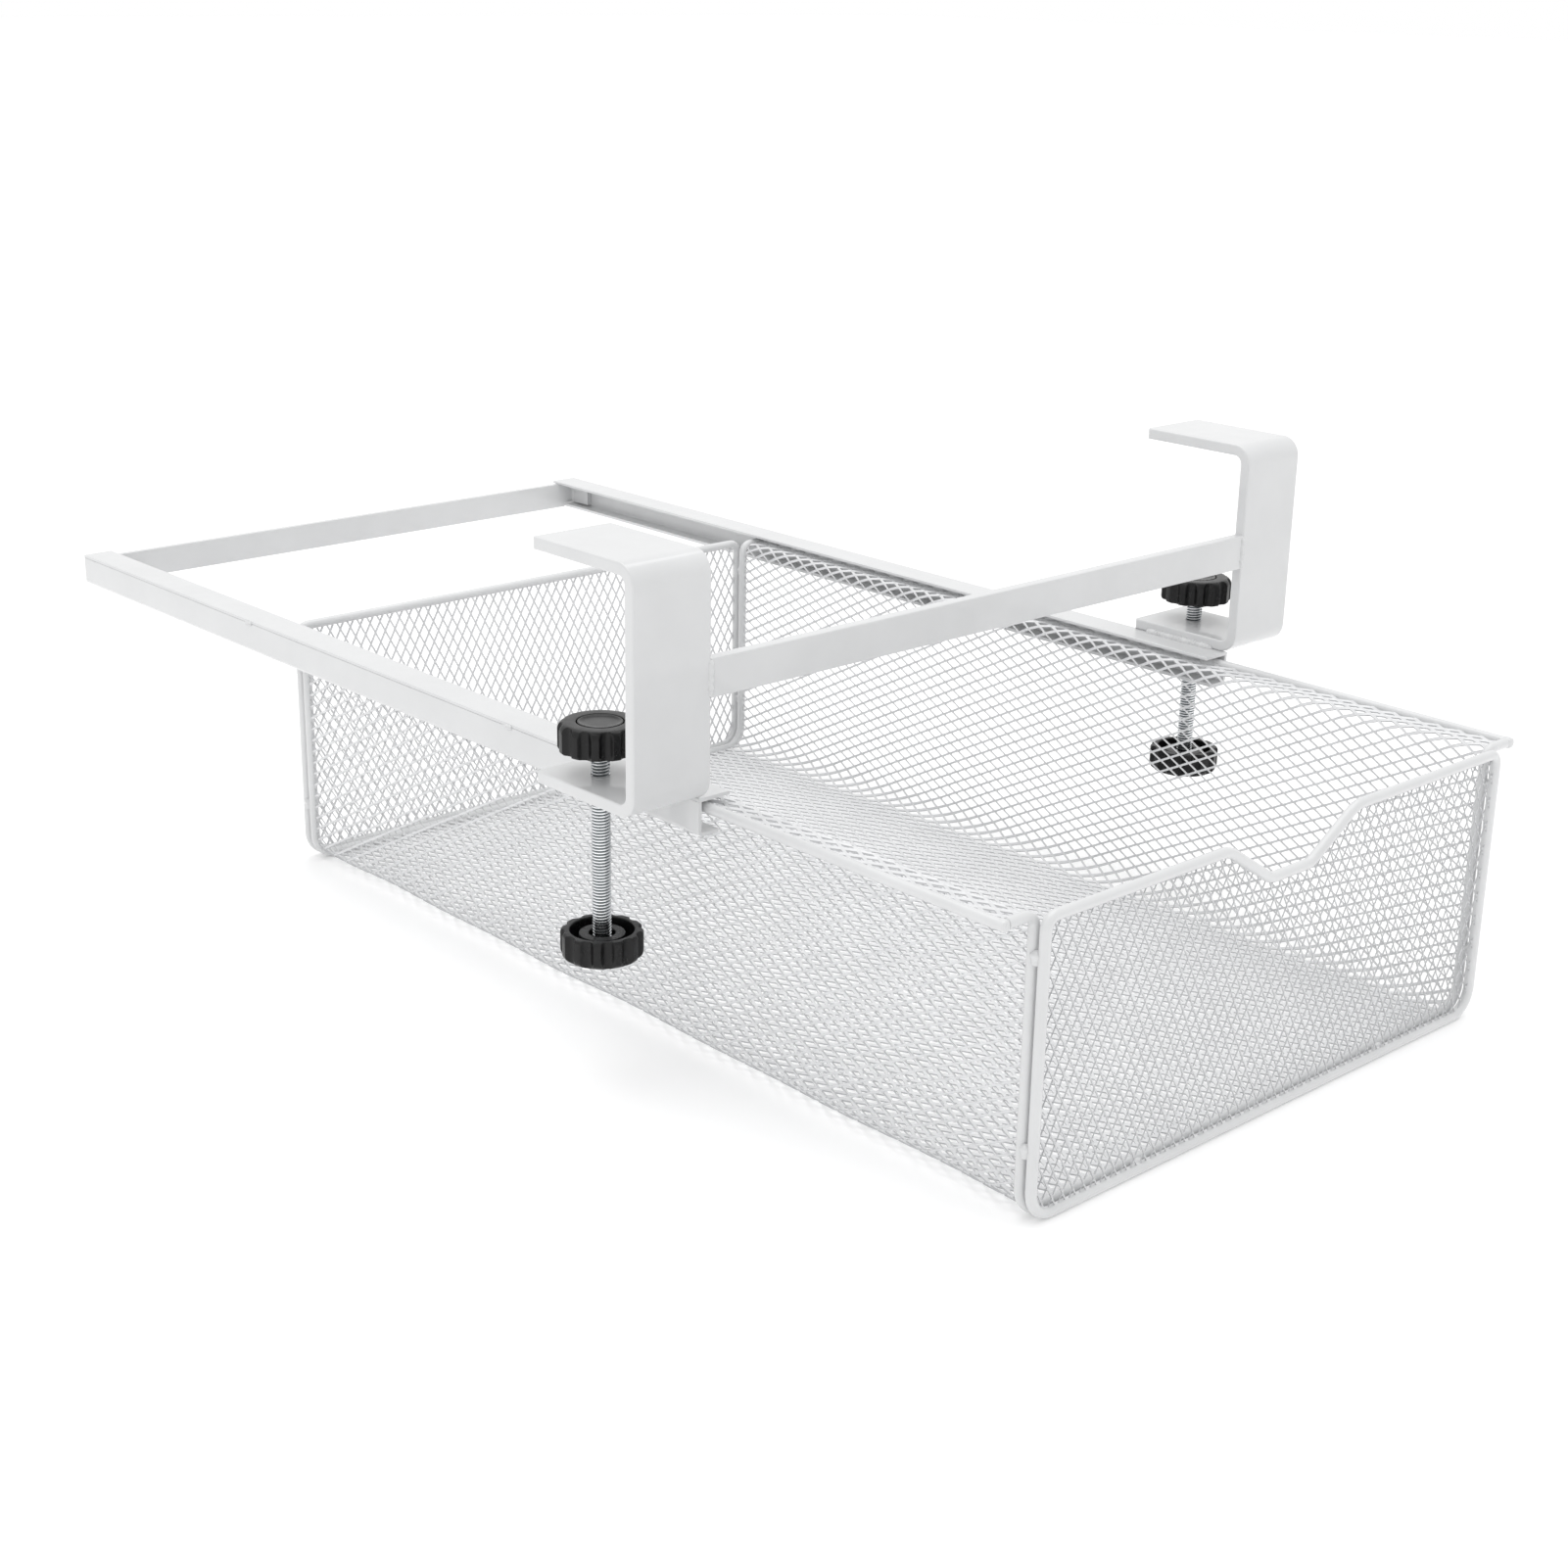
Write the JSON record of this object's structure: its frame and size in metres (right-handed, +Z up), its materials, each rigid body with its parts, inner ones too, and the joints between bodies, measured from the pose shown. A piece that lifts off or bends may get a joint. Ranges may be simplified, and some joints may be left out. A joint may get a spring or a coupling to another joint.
{
  "type": "under desk drawer",
  "caption": "Clamp-on under desk drawer: a wire-framed mesh tub slides in the rails of a welded steel frame that screws to the edge of a desk top.",
  "frame": {"origin": "middle of the cross bar's rear face, which the front edge of the desk top meets", "axes": "+X to the user's right, +Y under the desk, away from the user, +Z up"},
  "size_m": [0.317, 0.5287, 0.1772],
  "materials": {
    "frame_paint": "smooth semi-matt white powder coat",
    "weld_paint": "white powder coat over weld beads",
    "wire_paint": "white powder coat on round wire",
    "mesh_paint": "white powder coat on expanded mesh",
    "zinc": "bright zinc plate",
    "insert_steel": "plain machined steel",
    "knob_black": "semi-matt black moulding",
    "cap_black": "satin black moulding"
  },
  "bodies": {
    "frame": {"left_rail": "frame_paint", "right_rail": "frame_paint", "left_rail_strip": "frame_paint", "right_rail_strip": "frame_paint", "rear_bar": "frame_paint", "left_clamp_bracket": "frame_paint", "right_clamp_bracket": "frame_paint", "cross_bar": "frame_paint", "weld_beads": "weld_paint"},
    "left_pad": {"left_pressure_pad": "knob_black", "left_pad_bush": "insert_steel", "left_pad_cap": "cap_black"},
    "left_screw": {"left_clamp_screw": "zinc", "left_turn_knob": "knob_black", "left_knob_insert": "insert_steel", "left_knob_cap": "cap_black"},
    "right_pad": {"right_pressure_pad": "knob_black", "right_pad_bush": "insert_steel", "right_pad_cap": "cap_black"},
    "right_screw": {"right_clamp_screw": "zinc", "right_turn_knob": "knob_black", "right_knob_insert": "insert_steel", "right_knob_cap": "cap_black"},
    "drawer": {"tub_mesh": "mesh_paint", "front_mesh": "mesh_paint", "back_mesh": "mesh_paint", "front_frame": "wire_paint", "back_frame": "wire_paint", "tub_front_wire": "wire_paint", "tub_rear_wire": "wire_paint", "left_rim_wire": "wire_paint", "right_rim_wire": "wire_paint", "front_weld_nubs": "wire_paint", "rear_weld_nubs": "wire_paint"}
  },
  "joints": [
    {"name": "drawer_slide", "type": "slide", "parent": "frame", "child": "drawer", "axis": [0, -1, 0], "range_m": [-0.1285, 0.19]},
    {"name": "left_pad_lift", "type": "slide", "parent": "frame", "child": "left_pad", "axis": [0, 0, 1], "range_m": [-0.0075, 0.047]},
    {"name": "left_screw_turn", "type": "hinge", "parent": "left_pad", "child": "left_screw", "pos_m": [-0.1453, 0.0285, -0.055], "axis": [0, 0, 1], "range_deg": [-2682, 16902]},
    {"name": "right_pad_lift", "type": "slide", "parent": "frame", "child": "right_pad", "axis": [0, 0, 1], "range_m": [-0.0075, 0.047]},
    {"name": "right_screw_turn", "type": "hinge", "parent": "right_pad", "child": "right_screw", "pos_m": [0.1453, 0.0285, -0.055], "axis": [0, 0, 1], "range_deg": [-2682, 16902]}
  ],
  "couplings": [
    {"joint": "left_pad_lift", "follows": "left_screw_turn", "m_per_rad": 0.00015915},
    {"joint": "right_pad_lift", "follows": "right_screw_turn", "m_per_rad": 0.00015915}
  ]
}
